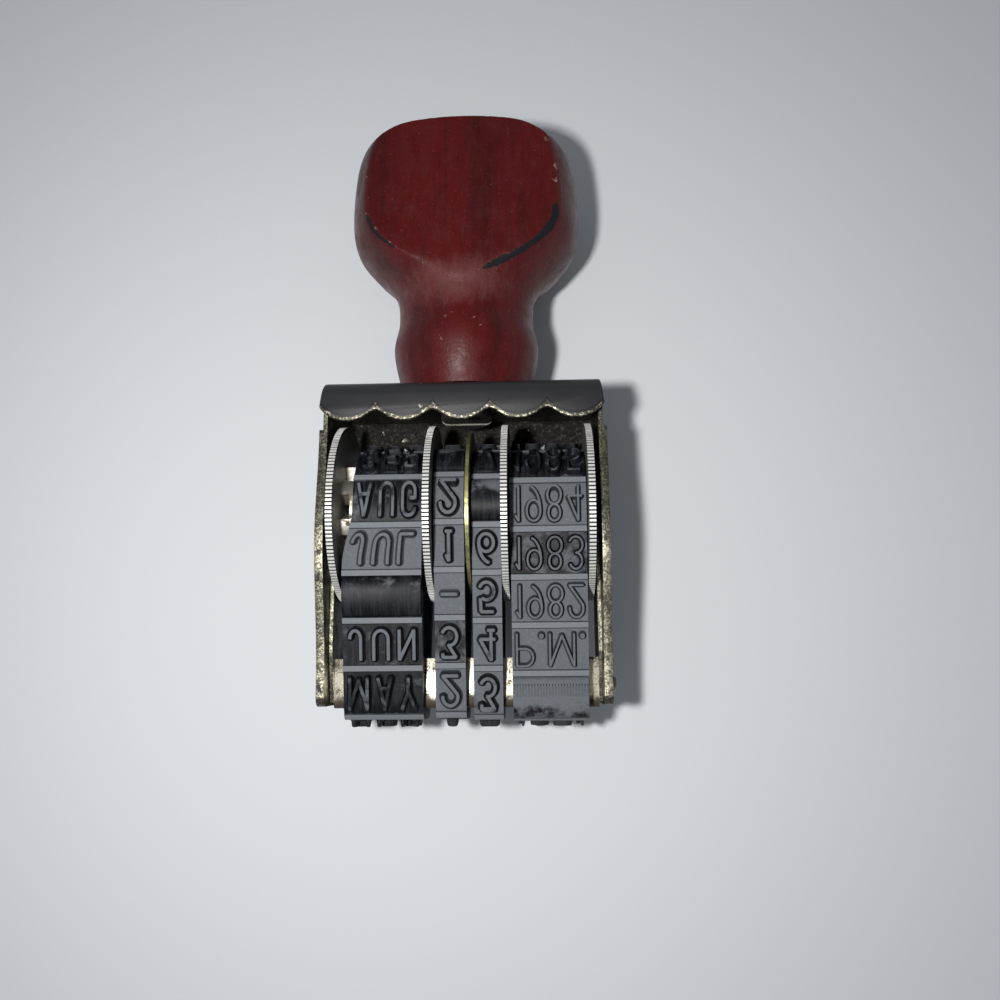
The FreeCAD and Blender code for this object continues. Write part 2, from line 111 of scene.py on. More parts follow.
# Camera: focal length in image widths, tilts in degrees, and how the axle lies from it; then the lights
FOCAL = 0.918
PITCH, ROLL, TURN = 10.38, 2.24, 0.87
AXLE_AWAY = 112.67 * MM
AXLE_LEFT, AXLE_DOWN = 4.05 * MM, 1.66 * MM
LAMP = Vector((-19, -29, 130)) * MM
LAMP_SIZE = 9 * MM
LAMP_POWER = 0.178
SURROUND_LEVELS = (0.74, 0.38, 0.12)


def nothing_selected():
    """Leave edit mode's selection habits behind before a new piece."""
    bpy.ops.object.select_all(action="DESELECT")


def only(piece):
    """Select one piece and make it the active one."""
    nothing_selected()
    piece.select_set(True)
    bpy.context.view_layer.objects.active = piece


def edit(piece):
    """Open a piece for editing with nothing in it selected."""
    only(piece)
    bpy.ops.object.mode_set(mode="EDIT")
    bpy.ops.mesh.select_all(action="DESELECT")


def done():
    """Close editing."""
    bpy.ops.object.mode_set(mode="OBJECT")


def choose(piece, kind, test):
    """Select the vertices, edges or faces of the edited piece that pass a test, and nothing else."""
    bpy.ops.mesh.select_mode(type=kind)
    bpy.ops.mesh.select_all(action="DESELECT")
    done()
    items = {"VERT": piece.data.vertices, "EDGE": piece.data.edges, "FACE": piece.data.polygons}[kind]
    for item in items:
        item.select = bool(test(item))
    bpy.ops.object.mode_set(mode="EDIT")


def fix_place(piece):
    """Put a piece's place into its mesh, so that its object sits at the origin."""
    only(piece)
    bpy.ops.object.transform_apply(location=True, rotation=True, scale=True)


def finish(piece, name, body, material, replaced=()):
    """Name a finished piece, give it its material and make it ride."""
    fix_place(piece)
    piece.name = name
    piece.data.name = name
    piece.data.materials.clear()
    piece.data.materials.append(material)
    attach(piece, body)
    if replaced:
        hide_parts(*replaced)
    return piece


class Surface:
    """A node material with one Principled shader, built up with short calls."""

    def __init__(self, name, **values):
        self.material = bpy.data.materials.new(name)
        self.material.use_nodes = True
        self.tree = self.material.node_tree
        self.shader = self.tree.nodes["Principled BSDF"]
        self.place = self.tree.nodes.new("ShaderNodeTexCoord").outputs["Object"]
        for socket, value in values.items():
            self.shader.inputs[socket.replace("_", " ")].default_value = value

    def node(self, kind, **settings):
        made = self.tree.nodes.new(kind)
        for key, value in settings.items():
            setattr(made, key, value)
        return made

    def link(self, value, socket):
        """Join an output to a socket, or write a plain value into it."""
        if isinstance(value, bpy.types.NodeSocket):
            self.tree.links.new(value, socket)
        elif value is not None:
            if socket.type == "RGBA" and len(value) == 3:
                value = (*value, 1.0)
            socket.default_value = value

    def stretched(self, scale):
        """Object coordinates with the pattern squeezed or drawn out along each axis."""
        mapping = self.node("ShaderNodeMapping")
        mapping.inputs["Scale"].default_value = scale
        self.link(self.place, mapping.inputs["Vector"])
        return mapping.outputs["Vector"]

    def noise(self, scale, detail=4.0, roughness=0.55, place=None, distortion=0.0):
        made = self.node("ShaderNodeTexNoise")
        self.link(place or self.place, made.inputs["Vector"])
        made.inputs["Scale"].default_value = scale
        made.inputs["Detail"].default_value = detail
        made.inputs["Roughness"].default_value = roughness
        made.inputs["Distortion"].default_value = distortion
        return made.outputs["Fac"]

    def band(self, value, low, high):
        """0 below low, 1 above high, and a smooth rise between; high may be under low."""
        made = self.node("ShaderNodeMapRange", interpolation_type="SMOOTHSTEP")
        self.link(value, made.inputs["Value"])
        if low <= high:
            ends = (low, high, 0.0, 1.0)
        else:
            ends = (high, low, 1.0, 0.0)
        for socket, end in zip(("From Min", "From Max", "To Min", "To Max"), ends):
            made.inputs[socket].default_value = end
        return made.outputs["Result"]

    def sum(self, operation, first, second=None, third=None, clamp=False):
        made = self.node("ShaderNodeMath", operation=operation, use_clamp=clamp)
        for value, socket in zip((first, second, third), made.inputs):
            self.link(value, socket)
        return made.outputs["Value"]

    def axis(self, name):
        parts = self.node("ShaderNodeSeparateXYZ")
        self.link(self.place, parts.inputs["Vector"])
        return parts.outputs[name]

    def attribute(self, name):
        made = self.node("ShaderNodeAttribute", attribute_name=name)
        parts = self.node("ShaderNodeSeparateColor")
        self.link(made.outputs["Color"], parts.inputs["Color"])
        return (*parts.outputs, made.outputs["Alpha"])

    def mix(self, share, first, second):
        made = self.node("ShaderNodeMix", data_type="RGBA")
        self.link(share, made.inputs[0])
        self.link(first, made.inputs[6])
        self.link(second, made.inputs[7])
        return made.outputs[2]

    def blend(self, share, first, second):
        made = self.node("ShaderNodeMix", data_type="FLOAT")
        self.link(share, made.inputs[0])
        self.link(first, made.inputs[2])
        self.link(second, made.inputs[3])
        return made.outputs[0]

    def set(self, socket, value):
        self.link(value, self.shader.inputs[socket])

    def bump(self, height, strength, depth):
        made = self.node("ShaderNodeBump")
        made.inputs["Strength"].default_value = strength
        made.inputs["Distance"].default_value = depth
        self.link(height, made.inputs["Height"])
        self.set("Normal", made.outputs["Normal"])


def stained_wood():
    """Deep red varnished wood with dark grain along the handle, scratches and grime in the crease."""
    skin = Surface("stained_wood", Coat_Weight=0.12, Coat_Roughness=0.13, Specular_IOR_Level=0.16)
    grime, rubbed, crease, _ = skin.attribute("grime")
    along = skin.stretched((1.0, 0.09, 1.0))
    streaks = skin.band(skin.noise(260.0, 6.0, 0.6, along, 0.9), 0.46, 0.66)
    broad = skin.band(skin.noise(75.0, 3.0, 0.5, along, 1.6), 0.42, 0.68)
    fine = skin.noise(2300.0, 5.0, 0.7, skin.stretched((1.0, 0.12, 1.0)))
    pores = skin.band(fine, 0.50, 0.66)
    colour = skin.mix(broad, (0.066, 0.0036, 0.0042), (0.040, 0.0026, 0.0030))
    colour = skin.mix(skin.sum("MULTIPLY", streaks, 0.40), colour, (0.012, 0.0020, 0.0022))
    colour = skin.mix(skin.sum("MULTIPLY", pores, 0.32), colour, (0.014, 0.0026, 0.0028))
    # Scuffs where the varnish has gone pale, thick where the neck is rubbed and along the flat's rim
    scratches = skin.noise(900.0, 7.0, 0.8, skin.stretched((1.0, 0.5, 1.0)))
    patch = skin.band(skin.noise(120.0, 2.0), 0.50, 0.62)
    scuff = skin.sum("MULTIPLY", skin.band(scratches, 0.70, 0.78), patch)
    bare = skin.band(skin.sum("MULTIPLY_ADD", rubbed, 0.42, scratches), 0.50, 0.98)
    dust = skin.band(skin.noise(3400.0, 4.0, 0.75), 0.625, 0.70)
    chips = skin.sum("MULTIPLY", skin.band(skin.noise(900.0, 3.0, 0.6), 0.62, 0.66), crease)
    colour = skin.mix(skin.sum("MULTIPLY", bare, 0.55), colour, (0.120, 0.046, 0.042))
    colour = skin.mix(skin.sum("MULTIPLY", dust, 0.40), colour, (0.20, 0.11, 0.09))
    colour = skin.mix(skin.sum("MAXIMUM", scuff, chips), colour, (0.26, 0.15, 0.12))
    ragged = skin.sum("MULTIPLY_ADD", skin.noise(1100.0, 5.0), 0.7, skin.sum("SUBTRACT", grime, 0.62))
    dirt = skin.band(ragged, 0.02, 0.14)
    colour = skin.mix(dirt, colour, (0.006, 0.006, 0.008))
    skin.set("Base Color", colour)
    wear = skin.noise(420.0, 6.0, 0.65)
    skin.set("Roughness", skin.blend(dirt, skin.blend(skin.band(wear, 0.35, 0.7), 0.34, 0.55), 0.75))
    skin.bump(skin.sum("ADD", skin.noise(1400.0, 5.0, 0.6, along), skin.noise(3200.0, 4.0)), 0.42, 0.00007)
    return skin.material


def black_enamel(hood_box):
    """Black enamel, worn to speckled metal along the front scallops and dusty behind the wheels."""
    skin = Surface("black_enamel", Specular_IOR_Level=0.30)
    low, high = hood_box
    step = (high.x - low.x) / SCALLOPS
    sag = SCALLOP_SAG
    radius = (step * step / 4 + sag * sag) / (2 * sag)
    # Height of the scalloped edge at this place across the hood
    from_left = skin.sum("SUBTRACT", skin.axis("X"), low.x)
    from_middle = skin.sum("SUBTRACT", skin.sum("PINGPONG", from_left, step / 2), step / 2)
    squared = skin.sum("MULTIPLY", from_middle, from_middle)
    drop = skin.sum("SQRT", skin.sum("SUBTRACT", radius * radius, squared))
    edge = skin.sum("SUBTRACT", low.y + radius, drop)
    above = skin.sum("SUBTRACT", skin.axis("Y"), edge)
    grain = skin.noise(1500.0, 5.0, 0.65)
    ragged = skin.sum("MULTIPLY_ADD", skin.sum("SUBTRACT", grain, 0.5), -0.0008, above)
    front = skin.band(skin.axis("Z"), AXLE.z + 3 * MM, AXLE.z + 5 * MM)
    facing = skin.node("ShaderNodeSeparateXYZ")
    skin.link(skin.node("ShaderNodeNewGeometry").outputs["Normal"], facing.inputs["Vector"])
    clear_of_edge = skin.band(above, 1.3 * MM, 1.9 * MM)
    inner = skin.sum("MULTIPLY", skin.band(facing.outputs["Y"], -0.3, -0.7), clear_of_edge)
    behind = skin.sum("MULTIPLY", skin.band(facing.outputs["Z"], 0.3, 0.7), skin.sum("SUBTRACT", 1.0, front))
    inner = skin.sum("MAXIMUM", inner, behind)
    bare = skin.sum("MULTIPLY", skin.band(ragged, BARE_LIP, BARE_LIP - 0.14 * MM), front)
    line = skin.sum("MULTIPLY", skin.band(above, LIP_SHADE, LIP_SHADE - 0.20 * MM), 0.8)
    chips = skin.band(skin.noise(620.0, 2.0, 0.5), 0.715, 0.73)
    scratches = skin.band(skin.noise(1700.0, 6.0, 0.75, skin.stretched((1.0, 0.25, 1.0))), 0.72, 0.76)
    worn = skin.sum("MAXIMUM", skin.sum("MAXIMUM", bare, chips), skin.sum("MULTIPLY", scratches, 0.5))
    shine = skin.band(skin.noise(2900.0, 5.0, 0.7), 0.50, 0.64)
    metal = skin.mix(shine, (0.050, 0.046, 0.034), (0.40, 0.385, 0.31))
    cloud = skin.noise(160.0, 4.0)
    paint = skin.mix(cloud, (0.013, 0.0135, 0.015), (0.022, 0.022, 0.024))
    # Painted shade: a narrow line of the enamel just above the bare lip is darkened to near black.
    paint = skin.mix(line, paint, (0.004, 0.004, 0.0045))
    # On the wall behind the wheels the enamel is dull with settled dust and rust
    dust = skin.band(skin.noise(2400.0, 6.0, 0.8), 0.50, 0.66)
    dusty = skin.mix(dust, (0.0050, 0.0048, 0.0042), (0.060, 0.056, 0.046))
    paint = skin.mix(inner, paint, dusty)
    skin.set("Base Color", skin.mix(worn, paint, metal))
    skin.set("Metallic", skin.sum("MULTIPLY", worn, 0.85))
    gloss = skin.blend(inner, skin.blend(cloud, 0.34, 0.48), 0.85)
    skin.set("Roughness", skin.blend(worn, gloss, 0.42))
    skin.bump(skin.sum("ADD", skin.sum("MULTIPLY", worn, -0.6), skin.noise(2200.0, 3.0)), 0.25, 0.00004)
    return skin.material


def worn_nickel(name, bright, dull, grime, spread, rough, foot=None):
    """Nickel plate worn through to dark specks, with dirt in patches and above a piece's foot."""
    skin = Surface(name)
    specks = skin.noise(4600.0, 6.0, 0.78)
    patches = skin.noise(700.0, 5.0, 0.6)
    worn = skin.sum("MULTIPLY_ADD", skin.sum("SUBTRACT", patches, 0.5), 0.30, specks)
    tone = skin.mix(skin.band(worn, spread, spread + 0.16), bright, dull)
    dirt = skin.band(skin.sum("MULTIPLY_ADD", patches, 0.8, skin.sum("MULTIPLY", specks, 0.6)), 0.74, 0.86)
    if foot is not None:
        ragged = skin.sum("MULTIPLY_ADD", skin.sum("SUBTRACT", patches, 0.5), -0.0022, skin.axis("Y"))
        dirt = skin.sum("MAXIMUM", dirt, skin.band(ragged, foot + 1.6 * MM, foot + 0.8 * MM))
    skin.set("Base Color", skin.mix(dirt, tone, grime))
    skin.set("Metallic", skin.blend(dirt, 1.0, 0.25))
    skin.set("Roughness", skin.blend(dirt, skin.blend(specks, rough, rough + 0.25), 0.72))
    skin.bump(skin.sum("ADD", specks, patches), 0.40, 0.00006)
    return skin.material


def serrated_nickel():
    """Bright teeth, their grooves coloured dark as painted shade, and ink and dirt on the disc's sides."""
    skin = Surface("serrated_nickel")
    y = skin.sum("SUBTRACT", skin.axis("Y"), AXLE.y)
    z = skin.sum("SUBTRACT", skin.axis("Z"), AXLE.z)
    out = skin.sum("SQRT", skin.sum("ADD", skin.sum("MULTIPLY", y, y), skin.sum("MULTIPLY", z, z)))
    rim = RIM_RADIUS
    grain = skin.noise(1800.0, 5.0, 0.65)
    tip = skin.band(skin.sum("MULTIPLY_ADD", grain, 0.00008, out), rim - 0.015 * MM, rim + 0.035 * MM)
    # Painted shade: the grooves between the teeth are coloured dark, mottled by the grain.
    groove_shade = skin.mix(skin.band(grain, 0.4, 0.65), (0.014, 0.014, 0.015), (0.070, 0.070, 0.066))
    side = skin.mix(skin.noise(500.0, 5.0), (0.06, 0.06, 0.058), (0.30, 0.30, 0.28))
    inner = skin.band(out, rim - 0.5 * MM, rim - 0.24 * MM)
    body = skin.mix(inner, side, groove_shade)
    skin.set("Base Color", skin.mix(tip, body, (0.56, 0.56, 0.54)))
    skin.set("Metallic", skin.blend(tip, 0.75, 0.30))
    skin.set("Roughness", skin.blend(tip, 0.5, 0.50))
    skin.bump(grain, 0.3, 0.00004)
    return skin.material


def tarnished_brass():
    """Thin brass with a greenish film."""
    skin = Surface("tarnished_brass")
    film = skin.noise(700.0, 6.0, 0.65)
    colour = skin.mix(skin.band(film, 0.35, 0.65), (0.42, 0.38, 0.17), (0.13, 0.14, 0.07))
    skin.set("Base Color", colour)
    skin.set("Metallic", skin.blend(film, 1.0, 0.5))
    skin.set("Roughness", skin.blend(film, 0.3, 0.6))
    return skin.material


def inked_rubber():
    """Matt blue-grey rubber: ink and painted shade darken the corners of the type and the edges of the
    strips, ink lies in smears where a cell was used, and the strips are lightened, partly as a painted
    highlight.
    """
    skin = Surface("inked_rubber", Specular_IOR_Level=0.12)
    ink, height, side_ink, strip = skin.attribute("ink")
    smear = skin.noise(520.0, 6.0, 0.62)
    fine = skin.noise(2600.0, 5.0, 0.7)
    cloud = skin.noise(190.0, 3.0)
    clean = skin.mix(cloud, (0.086, 0.095, 0.107), (0.114, 0.125, 0.139))
    clean = skin.mix(skin.sum("MULTIPLY", skin.band(fine, 0.45, 0.75), 0.5), clean, (0.168, 0.180, 0.197))
    # The raised strips are lightened: partly because they are rubbed clean, partly as a painted highlight.
    clean = skin.mix(skin.sum("MULTIPLY", strip, 0.34), clean, (0.24, 0.258, 0.278))
    film = skin.band(skin.sum("MULTIPLY_ADD", skin.sum("SUBTRACT", smear, 0.5), 1.6, ink), 0.50, 0.86)
    # The type's sides are darkened by their ink, and by painted shade even where a cell is clean.
    sides = skin.sum("MULTIPLY", skin.band(height, 0.0, 0.04), skin.band(height, 0.99, 0.90))
    sides = skin.sum("MULTIPLY", sides, skin.sum("MULTIPLY_ADD", side_ink, 0.38, 0.60))
    # Thin dark lines along the strips' edges: ink in the corner, and painted shade.
    strip_edge_ink_and_shade = skin.sum("MULTIPLY", skin.band(strip, 0.02, 0.25), skin.band(strip, 0.98, 0.75))
    sides = skin.sum("MAXIMUM", sides, skin.sum("MULTIPLY", strip_edge_ink_and_shade, 0.75))
    flecks = skin.sum("MULTIPLY", skin.band(fine, 0.60, 0.68), skin.band(ink, 0.15, 0.7))
    flecks = skin.sum("MULTIPLY", flecks, 0.7)
    ink_and_shade_mask = skin.sum("MAXIMUM", skin.sum("MAXIMUM", film, sides), flecks, clamp=True)
    brushed = skin.band(skin.noise(2600.0, 5.0, 0.7, skin.stretched((1.0, 0.10, 0.10))), 0.42, 0.66)
    black = skin.mix(brushed, (0.0036, 0.0040, 0.0054), (0.0150, 0.0162, 0.0215))
    skin.set("Base Color", skin.mix(ink_and_shade_mask, clean, black))
    skin.set("Roughness", skin.blend(film, 0.72, skin.blend(cloud, 0.30, 0.60)))
    skin.bump(skin.sum("MULTIPLY_ADD", smear, 0.5, fine), 0.35, 0.00005)
    return skin.material


def smooth_outline(points, steps):
    """Points on a smooth curve through the given ones, level at the last."""
    ends = [(-points[1][0], 2 * points[0][1] - points[1][1])] + list(points)
    ends.append((points[-1][0] + 0.1, -points[-2][1]))
    made = []
    for a, b, c, d in zip(ends, ends[1:], ends[2:], ends[3:]):
        for step in range(steps):
            t = step / steps
            made.append(tuple(
                0.5 * (2 * q + (r - p) * t + (2 * p - 5 * q + 4 * r - s) * t * t
                       + (3 * q - p - 3 * r + s) * t ** 3)
                for p, q, r, s in zip(a, b, c, d)
            ))
    return made


def turned_handle(material):
    """The wooden knob: a ring drawn out along the lathe's axis, then milled flat front and back."""
    outline = smooth_outline(HANDLE_STATIONS, RINGS_PER_STATION)
    seat = HANDLE_LOW.y
    nothing_selected()
    bpy.ops.mesh.primitive_circle_add(
        vertices=HANDLE_SIDES, radius=outline[0][1] * MM,
        location=(0, seat, AXLE.z), rotation=(math.pi / 2, 0, 0))
    knob = bpy.context.object
    fix_place(knob)
    edit(knob)
    bpy.ops.mesh.select_all(action="SELECT")
    bpy.ops.mesh.edge_face_add()
    place, size = outline[0]
    for distance, radius in outline[1:]:
        radius = max(radius, 0.05)
        bpy.ops.mesh.extrude_region_move(TRANSFORM_OT_translate={"value": (0, (distance - place) * MM, 0)})
        share = radius / size
        centre = (0, seat + distance * MM, AXLE.z)
        bpy.ops.transform.resize(value=(share, 1, share), center_override=centre)
        place, size = distance, radius
    done()
    for level, way in ((FRONT_FLAT, 1), (BACK_FLAT, -1)):
        edit(knob)
        bpy.ops.mesh.select_all(action="SELECT")
        bpy.ops.mesh.bisect(plane_co=(0, 0, level), plane_no=(0, 0, 1))
        low = seat + FLAT_START - 0.01 * MM
        choose(knob, "VERT", lambda v: (v.co.z - level) * way > 1e-7 and v.co.y > low)
        bpy.ops.transform.resize(value=(1, 1, 0), center_override=(0, seat, level))
        done()
    # The creases round the two flats are softened, as sanding leaves them
    edge = crease_distances(knob)
    edit(knob)
    knob_end = seat + KNOB_END_START
    choose(knob, "VERT", lambda v: edge[v.index] < CREASE_SOFT and v.co.y < knob_end)
    bpy.ops.mesh.vertices_smooth(factor=0.5, repeat=4)
    chin = seat + FLAT_START
    choose(knob, "VERT", lambda v: v.co.z > CHIN_LEVEL and abs(v.co.y - chin) < CHIN_REACH)
    bpy.ops.mesh.vertices_smooth(factor=0.5, repeat=14)
    bpy.ops.mesh.select_all(action="SELECT")
    bpy.ops.mesh.normals_make_consistent(inside=False)
    done()
    bpy.ops.object.shade_smooth_by_angle(angle=math.radians(60))
    grime = knob.data.color_attributes.new("grime", "FLOAT_COLOR", "POINT")
    for index, vertex in enumerate(knob.data.vertices):
        near_rim = max(0.0, 1 - edge[index] / CREASE_CHIPPED)
        grime.data[index].color = (crease_grime(vertex.co, edge[index]), rubbed_neck(vertex.co), near_rim, 1)
    return finish(knob, "turned_handle", BODY, material, ["handle"])


def knob_radius(y):
    """Radius of the turned knob at a place along it."""
    distance = (y - HANDLE_LOW.y) / MM
    outline = smooth_outline(HANDLE_STATIONS, RINGS_PER_STATION)
    for (d0, r0), (d1, r1) in zip(outline, outline[1:]):
        if d0 <= distance <= d1:
            return (r0 + (r1 - r0) * (distance - d0) / max(d1 - d0, 1e-9)) * MM
    return 0.0


def crease_distances(knob):
    """How far each vertex stands from the crease where a flat meets the turned surface."""
    made = []
    depth = FRONT_FLAT - AXLE.z
    radii = {}
    for vertex in knob.data.vertices:
        key = round(vertex.co.y, 7)
        if key not in radii:
            radii[key] = knob_radius(vertex.co.y)
        level = depth if vertex.co.z > AXLE.z else AXLE.z - BACK_FLAT
        half = math.sqrt(max(radii[key] ** 2 - level ** 2, 0.0))
        side = math.hypot(abs(vertex.co.x) - half, abs(vertex.co.z - AXLE.z) - level)
        made.append(side if radii[key] > level * 0.99 else 1.0)
    return made


def rubbed_neck(place):
    """Where the neck's varnish is worn thin, below and to the left of the flat's chin."""
    if place.z < AXLE.z:
        return 0.0
    across = (place.x - RUBBED_MIDDLE[0]) / RUBBED_REACH[0]
    along = ((place.y - HANDLE_LOW.y) / MM - RUBBED_MIDDLE[1]) / RUBBED_REACH[1]
    return max(0.0, 1.0 - across * across - along * along)


def crease_grime(place, distance):
    """Black residue: thin at the flat's lower left corner, thick along its lower right."""
    if place.z < AXLE.z:
        return 0.0
    y = (place.y - HANDLE_LOW.y) / MM
    low, high, reach = RIGHT_GRIME if place.x > 0 else LEFT_GRIME
    reach *= MM
    outside = FLAT_LIP > place.z
    if not low < y < high:
        return 0.0
    fade = min(1.0, (y - low) / 1.5, (high - y) / 2.5)
    strength = max(0.0, 1.0 - distance / (reach if outside else reach * 0.4))
    return max(0.0, min(1.0, strength * 1.6)) * fade


class BandPath:
    """The closed path of a band's cord line round drum and bridge, as distances and outward normals."""

    def __init__(self):
        offset = BAND_SEAT + BAND_THICKNESS - CORD_DEPTH
        self.big = DRUM_RADIUS + offset
        self.small = BRIDGE_CORNER + offset
        self.y = BRIDGE_LOW.y - AXLE.y + BRIDGE_CORNER
        self.z = (BRIDGE_HIGH.z - BRIDGE_LOW.z) / 2 - BRIDGE_CORNER
        reach = math.hypot(self.y, self.z)
        self.normal = math.atan2(self.z, self.y) - math.acos((self.big - self.small) / reach)
        gap = self.small - self.big
        run = math.hypot(self.y + gap * math.cos(self.normal), self.z + gap * math.sin(self.normal))
        self.parts = (self.z, self.small * (math.pi - self.normal), run, self.big * self.normal)
        self.length = 2 * sum(self.parts)
        self.pitch = self.length / CELLS

    def half(self, s):
        foot, corner, run, _ = self.parts
        if s <= foot:
            return self.y - self.small, s, math.pi
        s -= foot
        if s <= corner:
            angle = math.pi - s / self.small
            return self.y + self.small * math.cos(angle), self.z + self.small * math.sin(angle), angle
        s -= corner
        if s <= run:
            y = self.y + self.small * math.cos(self.normal) + s * math.sin(self.normal)
            return y, self.z + self.small * math.sin(self.normal) - s * math.cos(self.normal), self.normal
        angle = self.normal - (s - run) / self.big
        return self.big * math.cos(angle), self.big * math.sin(angle), angle

    def place(self, s, height):
        """Where a point stands, at a distance along the band and a height off its cord line."""
        s = s % self.length
        if s <= self.length / 2:
            y, z, angle = self.half(s)
        else:
            y, z, angle = self.half(self.length - s)
            z, angle = -z, -angle
        return AXLE.y + y + height * math.cos(angle), AXLE.z + z + height * math.sin(angle)


PATH = BandPath()


def paint(piece, ink, side_ink=0.0, is_strip=None, lower_ink_and_shade=None):
    """Write each vertex's ink, height up the type, ink on its sides and place on a dividing strip.

    With a lower ink, the ink changes to it from the upper end of the piece to the lower, as painted shade: a
    rounded pad is painted lighter at its upper end and darker at its lower.
    """
    layer = piece.data.color_attributes.new("ink", "FLOAT_COLOR", "POINT")
    places = [vertex.co.y for vertex in piece.data.vertices]
    upper_ink, middle = ink, (min(places) + max(places)) / 2
    for index, vertex in enumerate(piece.data.vertices):
        # Painted shade: a pad's ink grows towards its lower end, so the pad is lighter at the top and darker
        # at the foot.
        if lower_ink_and_shade is not None:
            share = max(0.0, min(1.0, 0.45 - 1.6 * (vertex.co.y - middle) / PAD_LENGTH))
            ink = upper_ink + (lower_ink_and_shade - upper_ink) * share
        strip = 1.0 if is_strip and is_strip(vertex.co) else 0.0
        height = 0.0 if is_strip else max(0.0, min(1.0, (vertex.co.z - CORD_DEPTH) / TYPE_RISE))
        layer.data[index].color = (ink * (1 - 0.7 * strip), height, side_ink, strip)


def moved_copy(piece, place):
    """A copy with its own mesh, moved by a distance; the pattern piece stays where it was made."""
    copy = piece.copy()
    copy.data = piece.data.copy()
    copy.data.transform(Matrix.Translation(place))
    bpy.context.scene.collection.objects.link(copy)
    return copy


def belt_cell(width):
    """One flat length of belt with half a dividing strip at each end."""
    nothing_selected()
    middle = CORD_DEPTH - BAND_THICKNESS / 2
    bpy.ops.mesh.primitive_cube_add(
        size=1, location=(0, 0, middle), scale=(width, PATH.pitch, BAND_THICKNESS))
    cell = bpy.context.object
    fix_place(cell)
    edit(cell)
    edge = (PATH.pitch - STRIP_WIDTH) / 2
    cuts = [-edge, edge] + [(step / CELL_STEPS - 0.5) * 2 * edge for step in range(1, CELL_STEPS)]
    for cut in cuts:
        bpy.ops.mesh.select_all(action="SELECT")
        bpy.ops.mesh.bisect(plane_co=(0, cut, 0), plane_no=(0, 1, 0))
    choose(cell, "FACE", lambda f: abs(f.center.y) > edge and f.normal.z > 0.9)
    bpy.ops.mesh.extrude_region_move(TRANSFORM_OT_translate={"value": (0, 0, STRIP_RISE)})
    choose(cell, "VERT", lambda v: v.co.z > CORD_DEPTH + STRIP_RISE / 2 and abs(v.co.y) < edge + 1e-6)
    bpy.ops.transform.resize(value=(1, (edge + STRIP_SPREAD) / edge, 1), center_override=(0, 0, 0))
    choose(cell, "FACE", lambda f: abs(f.normal.y) > 0.9 and abs(f.center.y) > PATH.pitch / 2 - 1e-6)
    bpy.ops.mesh.delete(type="FACE")
    done()
    return cell


def on_strip(place):
    """Whether a point of the flat belt is on top of a dividing strip."""
    return place.z > CORD_DEPTH + STRIP_RISE / 2


def on_pad(place):
    """A blank pad has neither strips nor type."""
    return False


